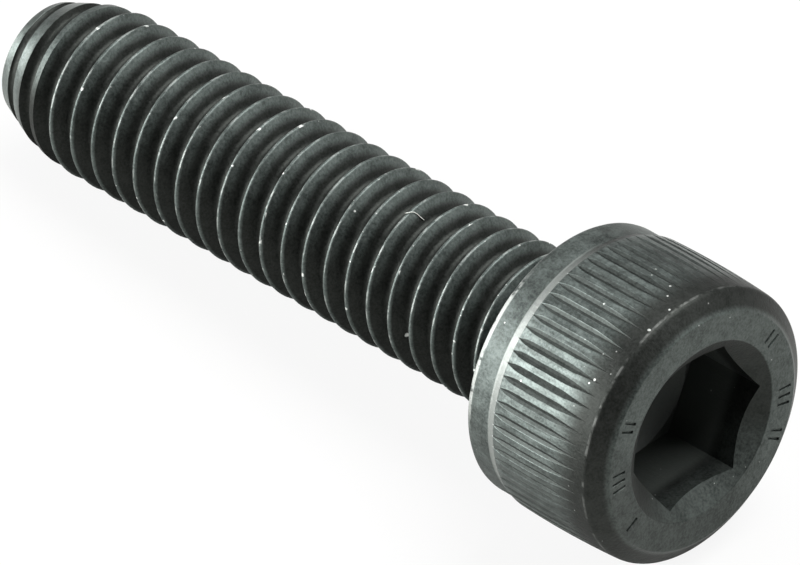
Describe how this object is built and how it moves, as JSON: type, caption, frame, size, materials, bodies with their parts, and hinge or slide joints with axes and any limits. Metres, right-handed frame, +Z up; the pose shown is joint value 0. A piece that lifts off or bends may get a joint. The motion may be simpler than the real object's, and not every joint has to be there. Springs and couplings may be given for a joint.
{
  "type": "hex socket cap screw",
  "caption": "Black steel cap screw with a knurled cylindrical head, a countersunk hex socket and a coarse thread that runs up to the head, lying on its side.",
  "frame": {"origin": "on the ground, below the middle of the lying screw's box", "axes": "+Z up, +X along the ground from the tip towards the head; the screw's own axis lies in the XZ plane and rises by about 5.1 degrees towards the head, because the head is wider than the thread"},
  "size_m": [0.0312, 0.01, 0.0103],
  "materials": {
    "black_oxide_steel": "black oxide on alloy steel, satin, worn to bare metal along its edges"
  },
  "bodies": {
    "root": {"cap_screw": "black_oxide_steel"}
  },
  "joints": []
}
